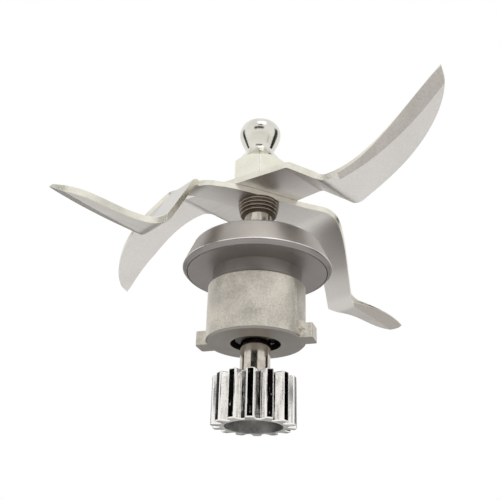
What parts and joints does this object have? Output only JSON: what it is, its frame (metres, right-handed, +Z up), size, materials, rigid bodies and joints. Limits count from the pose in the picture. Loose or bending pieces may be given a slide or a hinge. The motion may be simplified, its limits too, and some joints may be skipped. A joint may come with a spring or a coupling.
{
  "type": "food processor blade",
  "caption": "Stainless cutting blades on a bearing-mounted shaft with a knob nut, flanged cast housing with bayonet lugs and a toothed drive coupling below.",
  "frame": {"origin": "on the shaft axis at the open lower end of the drive coupling", "axes": "+Z up the shaft from the coupling to the knob nut, +X to the right and +Y away from the viewer in the picture"},
  "size_m": [0.095, 0.0886, 0.0912],
  "materials": {
    "blade_steel": "satin rolled sheet, ground at the cutting edges",
    "polished_nut": "turned and polished",
    "plated_coupling": "bright plated",
    "cast_aluminium": "die cast, tumbled",
    "turned_steel": "turned, with fine rings",
    "shaft_steel": "ground",
    "bearing_steel": "ground and polished",
    "spring_steel": "dark hardened",
    "cage_steel": "pressed",
    "seal_rubber": "moulded"
  },
  "bodies": {
    "housing": {"bearing_housing": "cast_aluminium", "flange_cover": "turned_steel", "shaft_seal": "seal_rubber", "lower_outer_ring": "bearing_steel", "upper_outer_ring": "bearing_steel", "outer_spacer": "cast_aluminium", "preload_washer": "spring_steel"},
    "rotor": {"shaft": "shaft_steel", "drive_coupling": "plated_coupling", "coupling_ring": "spring_steel", "lower_shaft_ring": "spring_steel", "upper_shaft_ring": "spring_steel", "lower_inner_ring": "bearing_steel", "upper_inner_ring": "bearing_steel", "inner_spacer": "shaft_steel", "stack_ring_one": "spring_steel", "stack_ring_two": "spring_steel", "stack_ring_three": "spring_steel", "stack_ring_four": "spring_steel", "lower_blade": "blade_steel", "upper_blade": "blade_steel", "knob_nut": "polished_nut"},
    "lower_ball_set": {"lower_balls": "bearing_steel", "lower_cage": "cage_steel"},
    "upper_ball_set": {"upper_balls": "bearing_steel", "upper_cage": "cage_steel"}
  },
  "joints": [
    {"name": "rotor_spin", "type": "hinge", "parent": "housing", "child": "rotor", "pos_m": [0, 0, 0], "axis": [0, 0, 1], "continuous": true},
    {"name": "lower_ball_spin", "type": "hinge", "parent": "housing", "child": "lower_ball_set", "pos_m": [0, 0, 0], "axis": [0, 0, 1], "continuous": true},
    {"name": "upper_ball_spin", "type": "hinge", "parent": "housing", "child": "upper_ball_set", "pos_m": [0, 0, 0], "axis": [0, 0, 1], "continuous": true}
  ],
  "couplings": [
    {"joint": "lower_ball_spin", "follows": "rotor_spin", "ratio": 0.368},
    {"joint": "upper_ball_spin", "follows": "rotor_spin", "ratio": 0.368}
  ]
}
